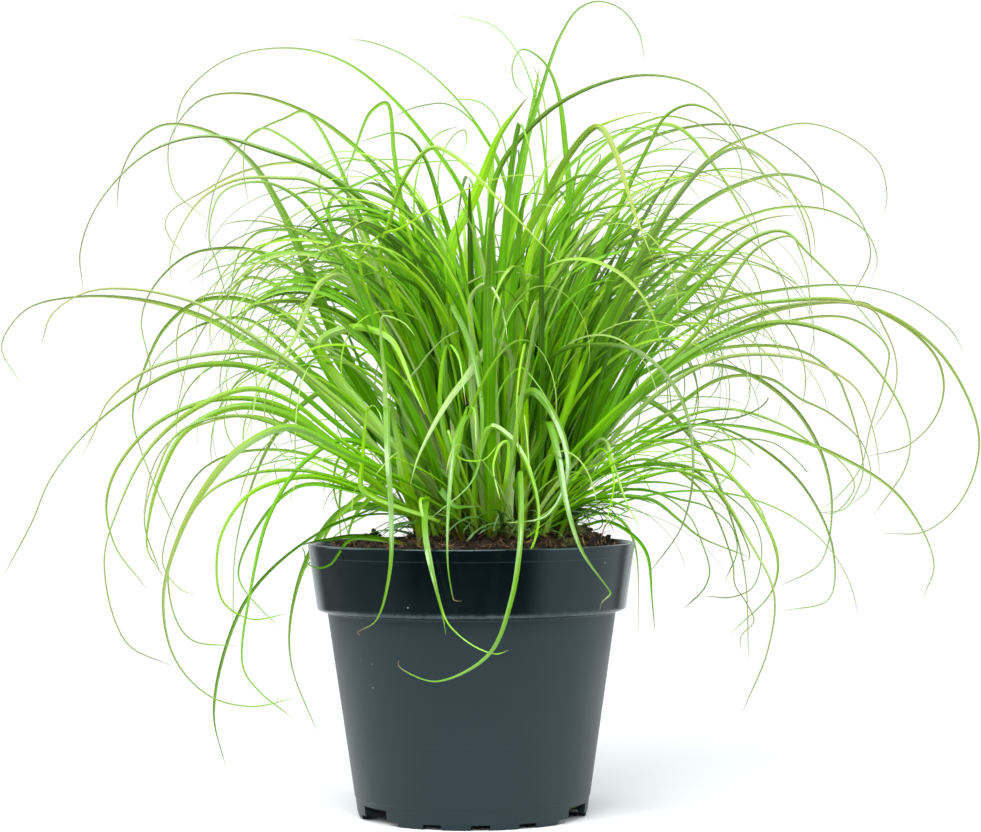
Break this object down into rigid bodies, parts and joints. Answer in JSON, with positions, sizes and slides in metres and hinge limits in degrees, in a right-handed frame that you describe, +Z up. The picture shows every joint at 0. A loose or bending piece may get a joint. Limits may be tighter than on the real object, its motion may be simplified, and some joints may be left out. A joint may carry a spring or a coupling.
{
  "type": "potted ornamental grass",
  "caption": "Clump of fine arching ornamental grass standing in a round tapered nursery pot with a collar rim, filled with soil",
  "frame": {"origin": "on the surface the pot stands on, at the middle of the pot's foot ring, which is also the middle of the plant's spread", "axes": "+Z up, -Y toward the front, +X to the right as seen from the front; the pot is turned about Z"},
  "size_m": [0.3804, 0.3185, 0.2997],
  "materials": {
    "pot": "satin",
    "soil": "matte",
    "crown": "matte",
    "leaf": "satin"
  },
  "bodies": {
    "root": {"pot": "pot", "soil": "soil", "crown": "crown", "leaf_left_01": "leaf", "leaf_left_02": "leaf", "leaf_left_03": "leaf", "leaf_left_04": "leaf", "leaf_left_05": "leaf", "leaf_left_06": "leaf", "leaf_left_07": "leaf", "leaf_left_08": "leaf", "leaf_left_09": "leaf", "leaf_left_10": "leaf", "leaf_left_11": "leaf", "leaf_left_12": "leaf", "leaf_left_13": "leaf", "leaf_left_14": "leaf", "leaf_left_15": "leaf", "leaf_left_16": "leaf", "leaf_top_01": "leaf", "leaf_top_02": "leaf", "leaf_top_03": "leaf", "leaf_top_04": "leaf", "leaf_top_05": "leaf", "leaf_top_06": "leaf", "leaf_top_07": "leaf", "leaf_top_08": "leaf", "leaf_top_09": "leaf", "leaf_right_01": "leaf", "leaf_right_02": "leaf", "leaf_right_03": "leaf", "leaf_right_04": "leaf", "leaf_right_05": "leaf", "leaf_right_06": "leaf", "leaf_right_07": "leaf", "leaf_right_08": "leaf", "leaf_right_09": "leaf", "leaf_right_10": "leaf", "leaf_right_11": "leaf", "leaf_right_12": "leaf", "leaf_right_13": "leaf", "leaf_right_14": "leaf", "leaf_right_15": "leaf", "leaf_front_01": "leaf", "leaf_front_02": "leaf", "leaf_front_03": "leaf", "leaf_front_04": "leaf", "leaf_front_05": "leaf", "leaf_front_06": "leaf", "leaf_front_07": "leaf", "leaf_front_08": "leaf", "leaf_back_01": "leaf", "leaf_back_02": "leaf", "leaf_back_03": "leaf", "leaf_back_04": "leaf", "leaf_back_05": "leaf", "leaf_back_06": "leaf", "leaf_back_07": "leaf", "leaf_back_08": "leaf", "leaf_back_09": "leaf"}
  },
  "joints": []
}
